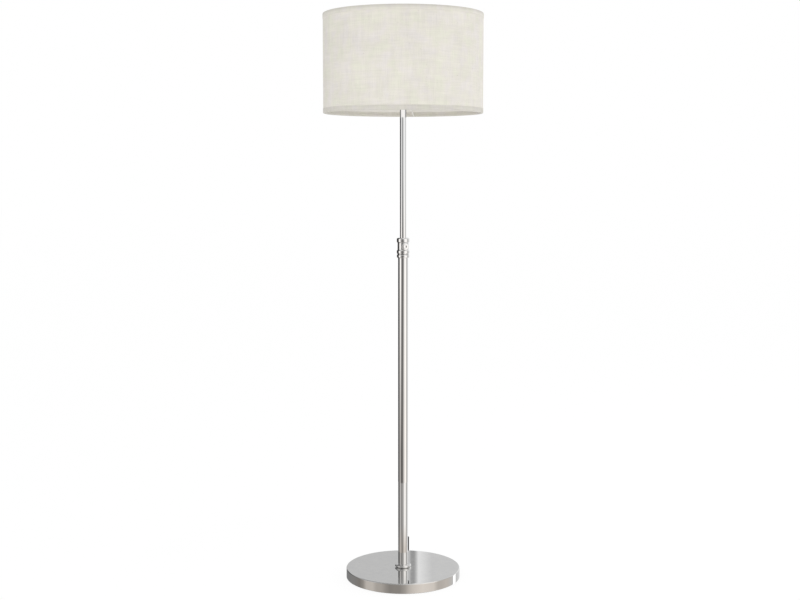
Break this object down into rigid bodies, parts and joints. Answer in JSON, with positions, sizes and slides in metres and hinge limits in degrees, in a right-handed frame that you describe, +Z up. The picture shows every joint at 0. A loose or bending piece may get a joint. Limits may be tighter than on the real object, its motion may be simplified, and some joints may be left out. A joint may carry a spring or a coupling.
{
  "type": "telescopic floor lamp",
  "caption": "Telescopic floor lamp: weighted round chrome base, two-stage pole with a thumb-knob clamp collar, and a linen drum shade on a recessed wire spider.",
  "frame": {"origin": "on the floor under the middle of the base and pole, with the upper pole half out", "axes": "+Z up along the pole, the front of the lamp towards -Y, +X to its right seen from the front"},
  "size_m": [0.3999, 0.4, 1.432],
  "materials": {
    "chrome": "mirror polished",
    "cast_iron": "rough, oiled",
    "black_paint": "satin",
    "zinc_steel": "satin",
    "felt": "matte",
    "black_plastic": "satin",
    "nylon": "satin",
    "brass": "polished",
    "white_plastic": "semi-gloss",
    "ceramic": "satin",
    "bulb_metal": "satin",
    "opal_glass": "satin opal",
    "cream_enamel": "semi-gloss",
    "lining": "matte",
    "linen": "matte woven",
    "hem": "matte woven"
  },
  "bodies": {
    "stand": {"base_cover": "chrome", "base_weight": "cast_iron", "base_plate": "black_paint", "plate_screws": "zinc_steel", "base_pad": "felt", "base_bolt": "zinc_steel", "base_washer": "zinc_steel", "tube_plug": "zinc_steel", "foot_ring": "chrome", "lower_tube": "chrome", "cable_outlet": "black_plastic", "collar_ferrule": "chrome", "clamp_collar": "chrome", "clamp_bush": "nylon"},
    "pad": {"clamp_pad": "brass"},
    "knob": {"knob_screw": "zinc_steel", "lock_knob": "chrome"},
    "guide": {"slide_bush": "nylon"},
    "upper_pole": {"end_plug": "zinc_steel", "plug_clip": "zinc_steel", "upper_tube": "chrome", "top_plug": "zinc_steel", "tube_cap": "chrome", "holder_nipple": "brass", "holder_nut": "zinc_steel", "holder_cap": "white_plastic", "holder_insert": "ceramic", "holder_body": "white_plastic", "screw_shell": "brass", "centre_contact": "brass", "bulb_contact": "bulb_metal", "bulb_insulator": "black_plastic", "bulb_cap": "bulb_metal", "bulb_glass": "opal_glass", "spider_hub": "cream_enamel", "spider_arm_rear": "cream_enamel", "spider_arm_left": "cream_enamel", "spider_arm_right": "cream_enamel", "clamp_nut": "white_plastic", "shade_bottom_ring": "cream_enamel", "shade_top_ring": "cream_enamel", "shade_lining": "lining", "shade_fabric": "linen", "bottom_hem": "hem", "top_hem": "hem"}
  },
  "joints": [
    {"name": "height", "type": "slide", "parent": "stand", "child": "guide", "axis": [0, 0, 1], "range_m": [-0.25, 0.25]},
    {"name": "swivel", "type": "hinge", "parent": "guide", "child": "upper_pole", "pos_m": [0, 0, 0.52], "axis": [0, 0, 1], "range_deg": [-170, 170]},
    {"name": "pad_slide", "type": "slide", "parent": "stand", "child": "pad", "axis": [0.2756, -0.9613, 0], "range_m": [0, 0.002]},
    {"name": "knob_turn", "type": "hinge", "parent": "pad", "child": "knob", "pos_m": [0.00496, -0.0173, 0.855], "axis": [0.2756, -0.9613, 0], "range_deg": [0, 720]}
  ],
  "couplings": [
    {"joint": "knob_turn", "follows": "pad_slide", "rad_per_m": 6283.2}
  ]
}
